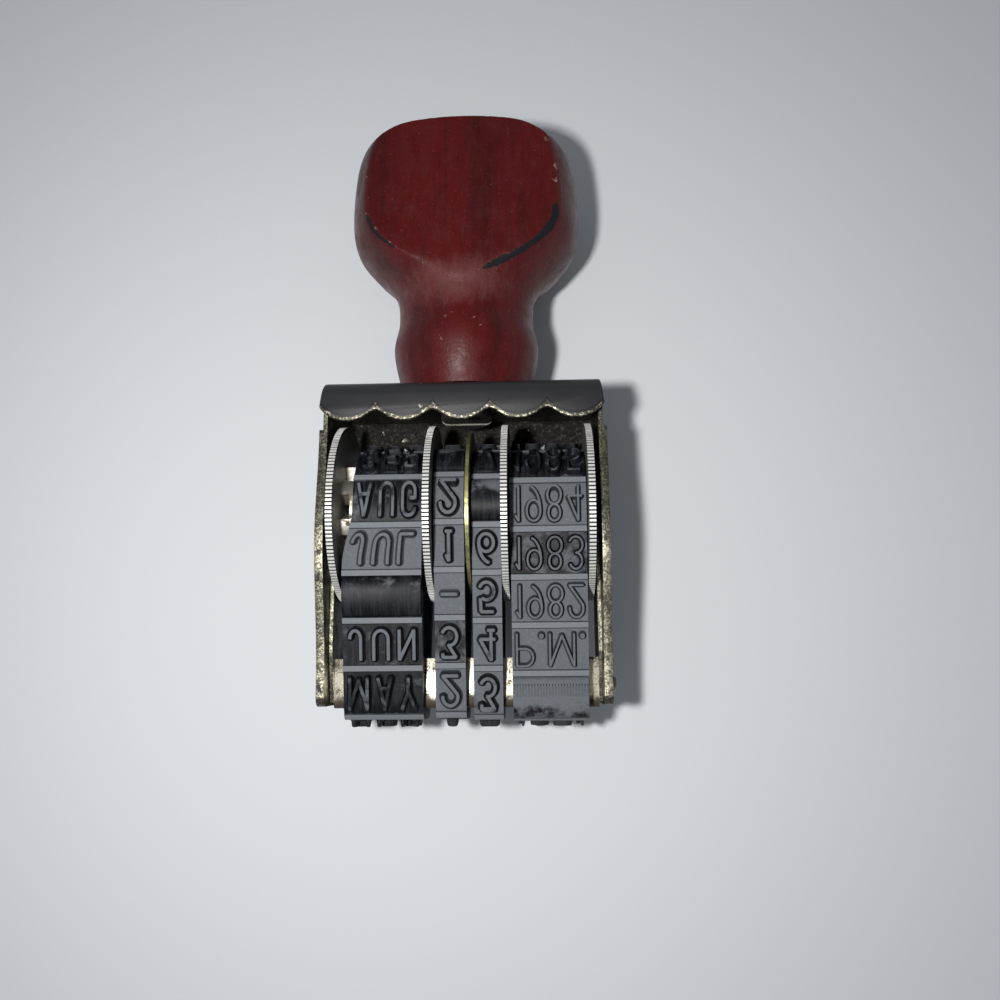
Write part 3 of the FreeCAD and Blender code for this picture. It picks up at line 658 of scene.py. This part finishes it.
# Round-ended strokes of each generic character in a unit box, x to the right and y up:
# four numbers are a straight stroke, six are an arc's centre, half width, half height and two angles
LETTERS = {
    "A": [(0, 0, 0.5, 1), (0.5, 1, 1, 0), (0.18, 0.34, 0.82, 0.34)],
    "B": [(0, 0, 0, 1), (0, 1, 0.5, 1), (0.5, 0.76, 0.44, 0.24, 90, -90), (0, 0.52, 0.5, 0.52),
          (0.5, 0.26, 0.5, 0.26, 90, -90), (0, 0, 0.5, 0)],
    "C": [(0.5, 0.72, 0.5, 0.28, 10, 180), (0, 0.72, 0, 0.28), (0.5, 0.28, 0.5, 0.28, 180, 350)],
    "D": [(0, 0, 0, 1), (0, 1, 0.4, 1), (0.4, 0.5, 0.6, 0.5, 90, -90), (0, 0, 0.4, 0)],
    "E": [(0, 0, 0, 1), (0, 1, 0.95, 1), (0, 0.52, 0.75, 0.52), (0, 0, 0.95, 0)],
    "F": [(0, 0, 0, 1), (0, 1, 0.95, 1), (0, 0.52, 0.75, 0.52)],
    "G": [(0.5, 0.72, 0.5, 0.28, 10, 180), (0, 0.72, 0, 0.28), (0.5, 0.28, 0.5, 0.28, 180, 360),
          (1, 0.28, 1, 0.48), (1, 0.48, 0.6, 0.48)],
    "J": [(0.85, 1, 0.85, 0.27), (0.45, 0.27, 0.4, 0.27, 0, -180)],
    "L": [(0, 1, 0, 0), (0, 0, 0.95, 0)],
    "M": [(0, 0, 0, 1), (0, 1, 0.5, 0.05), (0.5, 0.05, 1, 1), (1, 1, 1, 0)],
    "N": [(0, 0, 0, 1), (0, 1, 1, 0), (1, 0, 1, 1)],
    "O": [(0.5, 0.7, 0.5, 0.3, 0, 180), (0, 0.7, 0, 0.3), (0.5, 0.3, 0.5, 0.3, 180, 360), (1, 0.3, 1, 0.7)],
    "P": [(0, 0, 0, 1), (0, 1, 0.5, 1), (0.5, 0.73, 0.5, 0.27, 90, -90), (0, 0.46, 0.5, 0.46)],
    "R": [(0, 0, 0, 1), (0, 1, 0.5, 1), (0.5, 0.73, 0.5, 0.27, 90, -90), (0, 0.46, 0.5, 0.46),
          (0.45, 0.46, 1, 0)],
    "S": [(0.5, 0.75, 0.47, 0.25, 25, 270), (0.5, 0.25, 0.5, 0.25, 90, -155)],
    "T": [(0, 1, 1, 1), (0.5, 1, 0.5, 0)],
    "U": [(0, 1, 0, 0.3), (0.5, 0.3, 0.5, 0.3, 180, 360), (1, 0.3, 1, 1)],
    "V": [(0, 1, 0.5, 0), (0.5, 0, 1, 1)],
    "Y": [(0, 1, 0.5, 0.48), (1, 1, 0.5, 0.48), (0.5, 0.48, 0.5, 0)],
    "0": [(0.5, 0.7, 0.5, 0.3, 0, 180), (0, 0.7, 0, 0.3), (0.5, 0.3, 0.5, 0.3, 180, 360), (1, 0.3, 1, 0.7)],
    "1": [(0.75, 0, 0.75, 1), (0.75, 1, 0.1, 0.82)],
    "2": [(0.5, 0.72, 0.5, 0.28, 185, -25), (0.953, 0.602, 0, 0), (0, 0, 1, 0)],
    "3": [(0.5, 0.75, 0.45, 0.25, 155, -90), (0.5, 0.25, 0.5, 0.25, 90, -155)],
    "4": [(0.74, 0, 0.74, 1), (0.74, 1, 0, 0.3), (0, 0.3, 1, 0.3)],
    "5": [(0.92, 1, 0.1, 1), (0.1, 1, 0.06, 0.56), (0.48, 0.3, 0.5, 0.3, 125, -155)],
    "6": [(0.5, 0.3, 0.5, 0.3, 0, 360), (0.9, 0.3, 0.9, 0.7, 180, 105)],
    "7": [(0, 1, 1, 1), (1, 1, 0.35, 0)],
    "8": [(0.5, 0.76, 0.43, 0.24, 0, 360), (0.5, 0.26, 0.5, 0.26, 0, 360)],
    "9": [(0.5, 0.7, 0.5, 0.3, 0, 360), (0.1, 0.7, 0.9, 0.7, 0, -75)],
    "-": [(0, 0.5, 1, 0.5)],
    ".": [(0.5, 0.07, 0.5, 0.05, 0, 360)],
}
# The two day bands have a footed one, a flat-topped three and a footed four
DAY_LETTERS = {
    "1": [(0.6, 0, 0.6, 1), (0.6, 1, 0.0, 0.80), (-0.1, 0, 1.3, 0)],
    "3": [(0.05, 0.88, 0.05, 1), (0.05, 1, 0.92, 1), (0.92, 1, 0.42, 0.58),
          (0.48, 0.3, 0.5, 0.3, 100, -155)],
    "4": [(0.74, 0, 0.74, 1), (0.74, 1, 0, 0.3), (0, 0.3, 1, 0.3), (0.52, 0, 0.96, 0)],
}
# Widths beside that of a plain character
WIDTHS = {"1": 0.5, ".": 0.3, "M": 1.25, "J": 0.95, "P": 0.9}

# Half the section across a stroke: place to the side and height above the belt
STROKE_SECTION = [(0.56, -0.15), (0.54, 0.015), (0.42, 0.06), (0.30, 0.22), (0.235, 0.70), (0.18, 0.82)]
STROKE_HALF = 0.36 * MM
END_ANGLES = (30, 60, 80, 90)


def stroke_section(slimness):
    """The closed section that is drawn along every stroke."""
    curve = bpy.data.curves.new("stroke_section", "CURVE")
    right = [(x * slimness * MM, z * MM) for x, z in STROKE_SECTION]
    points = right + [(0.0, TYPE_RISE)] + [(-x, z) for x, z in reversed(right)]
    spline = curve.splines.new("POLY")
    spline.points.add(len(points) - 1)
    for point, (x, z) in zip(spline.points, points):
        point.co = (x, z, 0, 1)
    spline.use_cyclic_u = True
    section = bpy.data.objects.new("stroke_section", curve)
    bpy.context.scene.collection.objects.link(section)
    return section


def stroke_line(stroke, width, height):
    """Points along the middle of one stroke, and whether it closes on itself."""
    if len(stroke) == 4:
        x0, y0, x1, y1 = stroke
        length = math.hypot((x1 - x0) * width, (y1 - y0) * height)
        count = max(1, math.ceil(length / (0.5 * MM)))
        return [((x0 + (x1 - x0) * i / count) * width, (y0 + (y1 - y0) * i / count) * height)
                for i in range(count + 1)], False
    x, y, half_width, half_height, start, end = stroke
    closed = abs(end - start) == 360
    count = max(6, math.ceil(abs(end - start) / 15))
    angles = [math.radians(start + (end - start) * i / count) for i in range(count if closed else count + 1)]
    return [((x + half_width * math.cos(a)) * width, (y + half_height * math.sin(a)) * height)
            for a in angles], closed


def draw_stroke(curve, stroke, left, width, height, half):
    """Add one round-ended stroke to a curve."""
    line, closed = stroke_line(stroke, width, height)
    points = [(x, y, 1.0) for x, y in line]
    if not closed:
        for near, far, front in ((line[0], line[1], True), (line[-1], line[-2], False)):
            away = Vector((near[0] - far[0], near[1] - far[1])).normalized()
            for angle in END_ANGLES:
                turn = math.radians(angle)
                cap = (near[0] + away.x * half * math.sin(turn), near[1] + away.y * half * math.sin(turn),
                       max(math.cos(turn), 0.001))
                points.insert(0, cap) if front else points.append(cap)
    spline = curve.splines.new("POLY")
    spline.points.add(len(points) - 1)
    for point, (x, y, size) in zip(spline.points, points):
        point.co = (left + x, y, 0, 1)
        point.radius = size
    spline.use_cyclic_u = closed


def raised_figures(text, width, space, slimness, letters, inks):
    """Moulded characters, flipped top to bottom as type is, with sloping sides and round ends."""
    nothing_selected()
    half = STROKE_HALF * slimness
    curve = bpy.data.curves.new("type", "CURVE")
    curve.dimensions = "3D"
    curve.twist_mode = "Z_UP"
    section = stroke_section(slimness)
    curve.bevel_mode = "OBJECT"
    curve.bevel_object = section
    shares = [WIDTHS.get(letter, 1.0) for letter in text]
    unit = (width - space * (len(text) - 1)) / sum(shares) if len(text) > 1 else width
    left = -(unit * sum(shares) + space * (len(text) - 1)) / 2
    height = CHARACTER_HEIGHT - 2 * half
    for letter, share in zip(text, shares):
        reach = max(unit * share - 2 * half, 0.1 * MM)
        for stroke in letters.get(letter, LETTERS[letter]):
            draw_stroke(curve, stroke, left + half, reach, height, half)
        left += unit * share + space
    words = bpy.data.objects.new("type", curve)
    bpy.context.scene.collection.objects.link(words)
    only(words)
    bpy.ops.object.convert(target="MESH")
    words = bpy.context.object
    bpy.data.objects.remove(section)
    flipped = Matrix.Translation((0, height / 2, CORD_DEPTH)) @ Matrix.Diagonal((1, -1, 1, 1))
    words.data.transform(flipped)
    paint(words, inks[0], inks[1])
    return words


def blank_pad(width):
    """A raised cell with no character: a full-width pad with rounded ends."""
    nothing_selected()
    height = TYPE_RISE + PAD_SINK
    bpy.ops.mesh.primitive_cube_add(
        size=1, location=(0, 0, CORD_DEPTH + TYPE_RISE - height / 2),
        scale=(width * PAD_SHARE, PAD_LENGTH, height))
    pad = bpy.context.object
    fix_place(pad)
    edit(pad)
    for angle in range(-75, 80, 10):
        bpy.ops.mesh.select_all(action="SELECT")
        bpy.ops.mesh.bisect(
            plane_co=(0, math.sin(math.radians(angle)) * PAD_LENGTH / 2, 0), plane_no=(0, 1, 0))
    done()
    for vertex in pad.data.vertices:
        if vertex.co.z > CORD_DEPTH:
            vertex.co.z = pad_height(vertex.co.y)
    return pad


def pad_height(y):
    """Height of a blank pad's rounded top at a place along it."""
    share = min(1.0, abs(y) / (PAD_LENGTH / 2))
    return CORD_DEPTH - PAD_SINK / 2 + (TYPE_RISE + PAD_SINK / 2) * math.sqrt(1 - share ** 2.4)


def fine_rib(width):
    """One of the low ribs on the upper part of the year band's pad."""
    nothing_selected()
    bpy.ops.mesh.primitive_cube_add(
        size=1, location=(0, RIB_PLACE, CORD_DEPTH), scale=(width * 0.5, RIB_LENGTH, 2 * TYPE_RISE))
    rib = bpy.context.object
    fix_place(rib)
    edit(rib)
    for cut in (-0.25, 0.0, 0.25):
        bpy.ops.mesh.select_all(action="SELECT")
        bpy.ops.mesh.bisect(plane_co=(0, RIB_PLACE + cut * RIB_LENGTH, 0), plane_no=(0, 1, 0))
    choose(rib, "FACE", lambda f: f.normal.z > 0.9)
    bpy.ops.transform.resize(value=(0.4, 0.85, 1), center_override=(0, RIB_PLACE, 0))
    done()
    for vertex in rib.data.vertices:
        vertex.co.z = pad_height(vertex.co.y) + (RIB_RISE if vertex.co.z > CORD_DEPTH else -RIB_RISE)
    return rib


def wrapped(pieces, creep, skew):
    """Join flat lengths of band and bend them round the path, the band having crept along it."""
    nothing_selected()
    for piece in pieces:
        piece.select_set(True)
    bpy.context.view_layer.objects.active = pieces[0]
    bpy.ops.object.join()
    band = bpy.context.object
    for vertex in band.data.vertices:
        vertex.co.x = skew(vertex.co.x, vertex.co.y)
        vertex.co.y, vertex.co.z = PATH.place(vertex.co.y + creep, vertex.co.z)
    band.data.update()
    edit(band)
    bpy.ops.mesh.select_all(action="SELECT")
    bpy.ops.mesh.remove_doubles(threshold=0.002 * MM)
    bpy.ops.mesh.normals_make_consistent(inside=False)
    done()
    bpy.ops.object.shade_smooth_by_angle(angle=math.radians(28))
    return band


def straight(x, s):
    """A band that runs true."""
    return x


def month_skew(x, s):
    """The month band rides up to the right over its drum, and narrows there, by its August cell."""
    along = s / PATH.pitch
    share = max(0.0, min(1.0, (along - RIDE_START) / RIDE_COMES))
    share *= max(0.0, min(1.0, (RIDE_END - along) / RIDE_GOES))
    share = share * share * (3 - 2 * share)
    return MONTH_RIGHT + (x - MONTH_RIGHT) * (1 - RIDE_NARROWING * share) + RIDE_SHIFT * share


def type_band(name, cells, figures_width, space, slimness, creep, letters, material, skew=straight):
    """A whole rubber band: its belt, dividing strips and raised type."""
    low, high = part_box(name)
    width = high.x - low.x
    belt, pad, rib = belt_cell(width), blank_pad(width), fine_rib(width / RIBS)
    pieces = []
    for index in range(CELLS):
        text, ground, top, side = cells[index]
        place = Vector(((low.x + high.x) / 2, index * PATH.pitch, 0))
        pieces.append(moved_copy(belt, place))
        paint(pieces[-1], ground, is_strip=on_strip)
        if text in ("", "ribs"):
            pieces.append(moved_copy(pad, place))
            # The pad's lower end is given more ink, as painted shade.
            paint(pieces[-1], top, is_strip=on_pad, lower_ink_and_shade=side)
        else:
            figures = raised_figures(text, figures_width, space, slimness, letters, (top, side))
            figures.data.transform(Matrix.Translation(place))
            pieces.append(figures)
        for number in range(RIBS if text == "ribs" else 0):
            across = Vector(((number - (RIBS - 1) / 2) * width / RIBS, 0, 0))
            pieces.append(moved_copy(rib, place + across))
            paint(pieces[-1], top, 0.3)
    for pattern in (belt, pad, rib):
        bpy.data.objects.remove(pattern)
    band = wrapped(pieces, creep, skew)
    return finish(band, name + "_rubber", BODY, material, [name])


# What each cell carries, and how inked its ground, its type and its type's sides are, or a pad's
# ground, upper end and lower end, the pad's two ends differing as painted shade: from the printing face up
# the front and down the back
MONTH_CELLS = [
    ("APR", 0.8, 0.8, 0.9), ("MAY", 0.98, 0.76, 1.1), ("JUN", 0.90, 0.26, 1.1), ("", 0.98, 0.86, 1.3),
    ("JUL", 0.08, 0.10, 0.2), ("AUG", 0.84, 0.58, 1.0), ("SEP", 0.94, 0.80, 1.0), ("OCT", 0.5, 0.5, 0.8),
    ("NOV", 0.4, 0.4, 0.6), ("DEC", 0.3, 0.3, 0.6), ("", 0.3, 0.4, 0.6), ("JAN", 0.4, 0.4, 0.6),
    ("FEB", 0.5, 0.5, 0.7), ("MAR", 0.6, 0.6, 0.8),
]
TENS_CELLS = [
    ("1", 0.6, 0.6, 0.8), ("2", 0.12, 0.25, 0.6), ("3", 0.68, 0.46, 1.0), ("-", 0.08, 0.1, 0.1),
    ("1", 0.14, 0.42, 1.0), ("2", 0.18, 0.45, 1.0), ("", 0.55, 0.66, 1.0), ("3", 0.5, 0.5, 0.8),
    ("2", 0.4, 0.4, 0.6), ("1", 0.3, 0.3, 0.5), ("", 0.3, 0.4, 0.5), ("3", 0.4, 0.4, 0.6),
    ("2", 0.5, 0.5, 0.7), ("", 0.6, 0.6, 0.6),
]
UNITS_CELLS = [
    ("2", 0.6, 0.6, 0.8), ("3", 0.40, 0.50, 1.0), ("4", 0.24, 0.42, 0.9), ("5", 0.16, 0.44, 1.0),
    ("6", 0.28, 0.46, 1.0), ("", 0.8, 0.60, 1.3), ("7", 0.95, 0.85, 1.0), ("8", 0.5, 0.5, 0.8),
    ("9", 0.4, 0.4, 0.6), ("0", 0.3, 0.3, 0.5), ("-", 0.3, 0.3, 0.4), ("", 0.3, 0.4, 0.6),
    ("0", 0.5, 0.5, 0.7), ("1", 0.6, 0.6, 0.8),
]
YEAR_CELLS = [
    ("1981", 0.3, 0.4, 0.5), ("ribs", 0.2, 0.16, 0.72), ("P.M.", 0.05, 0.08, 0.15),
    ("1982", 0.10, 0.12, 0.25), ("1983", 0.74, 0.50, 1.15), ("1984", 0.12, 0.16, 0.35),
    ("1985", 0.95, 0.85, 1.0), ("1986", 0.5, 0.5, 0.8), ("1987", 0.4, 0.4, 0.6), ("1988", 0.3, 0.3, 0.5),
    ("1989", 0.4, 0.4, 0.6), ("1990", 0.4, 0.4, 0.6), ("A.M.", 0.4, 0.5, 0.6), ("", 0.5, 0.6, 0.6),
]


def softened_copy(node, name, material, bevel, segments=2, cusps=()):
    """A piece of the frame with its cut edges rounded, standing for the plain one."""
    nothing_selected()
    source = frame["nodes"][node]
    piece = source.copy()
    piece.data = source.data.copy()
    for key in list(piece.keys()):
        del piece[key]
    piece.parent = None
    bpy.context.scene.collection.objects.link(piece)
    piece.matrix_world = Matrix.Identity(4)
    edit(piece)
    bpy.ops.mesh.select_all(action="SELECT")
    bpy.ops.mesh.customdata_custom_splitnormals_clear()
    bpy.ops.mesh.remove_doubles(threshold=0.002 * MM)
    bpy.ops.mesh.select_all(action="SELECT")
    bpy.ops.mesh.dissolve_limited(angle_limit=math.radians(0.5))
    for cusp in cusps:
        choose(piece, "VERT", lambda v: (v.co.xy - cusp).length < CUSP_REACH)
        bpy.ops.mesh.vertices_smooth(factor=0.5, repeat=12, zaxis=False)
    done()
    rounding = piece.modifiers.new("rounding", "BEVEL")
    rounding.width = bevel
    rounding.segments = segments
    rounding.limit_method = "ANGLE"
    rounding.angle_limit = math.radians(40)
    rounding.use_clamp_overlap = True
    bpy.ops.object.modifier_apply(modifier=rounding.name)
    bpy.ops.object.shade_smooth_by_angle(angle=math.radians(35))
    return finish(piece, name, BODY, material, [node])


def dress(nodes, material):
    """Give frame pieces that keep their own shape a better material."""
    for node in nodes:
        piece = frame["nodes"][node]
        piece.data.materials.clear()
        piece.data.materials.append(material)


def floor():
    """Plain pale surface."""
    nothing_selected()
    bpy.ops.mesh.primitive_plane_add(size=3.0, location=(0, 0, 0))
    sheet = bpy.context.object
    sheet.name = "floor"
    skin = Surface("pale_floor", Roughness=0.85)
    skin.set("Base Color", (0.605, 0.632, 0.660))
    sheet.data.materials.append(skin.material)


def lamp(name, place, size, power, colour):
    """A soft square light aimed at the stamp."""
    data = bpy.data.lights.new(name, "AREA")
    data.shape = "SQUARE"
    data.size = size
    data.energy = power
    data.color = colour
    light = bpy.data.objects.new(name, data)
    bpy.context.scene.collection.objects.link(light)
    light.location = place
    light.rotation_euler = (Vector((0, 0, 0.01)) - Vector(place)).to_track_quat("-Z", "Y").to_euler()


def lights():
    """One small key from the left, and a surround that is dim overhead and pale at the horizon."""
    lamp("key", LAMP, LAMP_SIZE, LAMP_POWER, (1.0, 0.985, 0.97))
    world = bpy.data.worlds.new("surround")
    world.use_nodes = True
    nodes, links = world.node_tree.nodes, world.node_tree.links
    parts = nodes.new("ShaderNodeSeparateXYZ")
    links.new(nodes.new("ShaderNodeTexCoord").outputs["Generated"], parts.inputs["Vector"])
    rise = nodes.new("ShaderNodeValToRGB")
    links.new(parts.outputs["Z"], rise.inputs["Fac"])
    ramp = rise.color_ramp
    ramp.elements.new(0.35)
    for element, level in zip(ramp.elements, SURROUND_LEVELS):
        element.color = (0.90 * level, 0.95 * level, level, 1)
    links.new(rise.outputs["Color"], nodes["Background"].inputs["Color"])
    bpy.context.scene.world = world


def camera():
    """Looks down at the stamp from a little towards its printing end."""
    data = bpy.data.cameras.new("camera")
    data.sensor_width = 36.0
    data.lens = FOCAL * data.sensor_width
    data.clip_start = 0.005
    eye = bpy.data.objects.new("camera", data)
    bpy.context.scene.collection.objects.link(eye)
    turn = (Matrix.Rotation(math.radians(PITCH), 3, "X") @ Matrix.Rotation(math.radians(ROLL), 3, "Y")
            @ Matrix.Rotation(math.radians(-TURN), 3, "Z"))
    stand = AXLE + turn @ Vector((AXLE_LEFT, AXLE_DOWN, AXLE_AWAY))
    eye.matrix_world = Matrix.Translation(stand) @ turn.to_4x4()
    bpy.context.scene.camera = eye


def build():
    camera()
    lights()
    floor()
    wood = stained_wood()
    nickel = worn_nickel(
        "worn_nickel", bright=(0.26, 0.25, 0.195), dull=(0.042, 0.039, 0.028),
        grime=(0.018, 0.016, 0.011), spread=0.385, rough=0.28)
    # The drums get a brighter nickel than the frame, as painted light on drums that sit in shade.
    bright = worn_nickel(
        "bright_nickel", bright=(0.62, 0.59, 0.51), dull=(0.33, 0.28, 0.21),
        grime=(0.07, 0.05, 0.035), spread=0.53, rough=0.24)
    channel = worn_nickel(
        "channel_nickel", bright=(0.52, 0.49, 0.41), dull=(0.19, 0.16, 0.11),
        grime=(0.050, 0.036, 0.023), spread=0.47, rough=0.26, foot=BRIDGE_LOW.y)
    steel = worn_nickel(
        "plain_steel", bright=(0.20, 0.19, 0.17), dull=(0.06, 0.055, 0.045),
        grime=(0.03, 0.025, 0.02), spread=0.45, rough=0.38)
    rubber = inked_rubber()
    turned_handle(wood)
    low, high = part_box("hood")
    step = (high.x - low.x) / SCALLOPS
    cusps = [Vector((low.x + step * n, low.y + SCALLOP_SAG)) for n in range(1, SCALLOPS)]
    enamel = black_enamel((low, high))
    softened_copy("hood", "enamelled_hood", enamel, HOOD_ROUNDING, 3, cusps)
    softened_copy("frame_yoke", "rolled_edge_yoke", nickel, YOKE_ROUNDING, 4)
    softened_copy("bridge", "bridge_channel", channel, BRIDGE_ROUNDING)
    dress(["left_side_plate", "right_side_plate", "bridge_rivets"], nickel)
    dress(["axle", "left_spacer", "right_spacer", "handle_screw", "screw_washer"], steel)
    dress(["centre_separator"], tarnished_brass())
    dress([wheel + "_thumbwheel" for wheel in WHEELS], serrated_nickel())
    # Painted light: the drums, in shade under the hood, are given the brightened nickel.
    dress([wheel + "_drum" for wheel in WHEELS], bright)
    type_band("month_band", MONTH_CELLS, figures_width=8.15 * MM, space=0.55 * MM, slimness=1.0,
              creep=0.0, letters=LETTERS, material=rubber, skew=month_skew)
    type_band("tens_band", TENS_CELLS, figures_width=2.45 * MM, space=0.0, slimness=1.0,
              creep=0.25 * MM, letters=DAY_LETTERS, material=rubber)
    type_band("units_band", UNITS_CELLS, figures_width=2.4 * MM, space=0.0, slimness=1.0,
              creep=-0.1 * MM, letters=DAY_LETTERS, material=rubber)
    type_band("year_band", YEAR_CELLS, figures_width=8.05 * MM, space=0.35 * MM, slimness=0.63,
              creep=-0.7 * MM, letters=LETTERS, material=rubber)


build()
bpy.context.scene.view_settings.view_transform = "Standard"
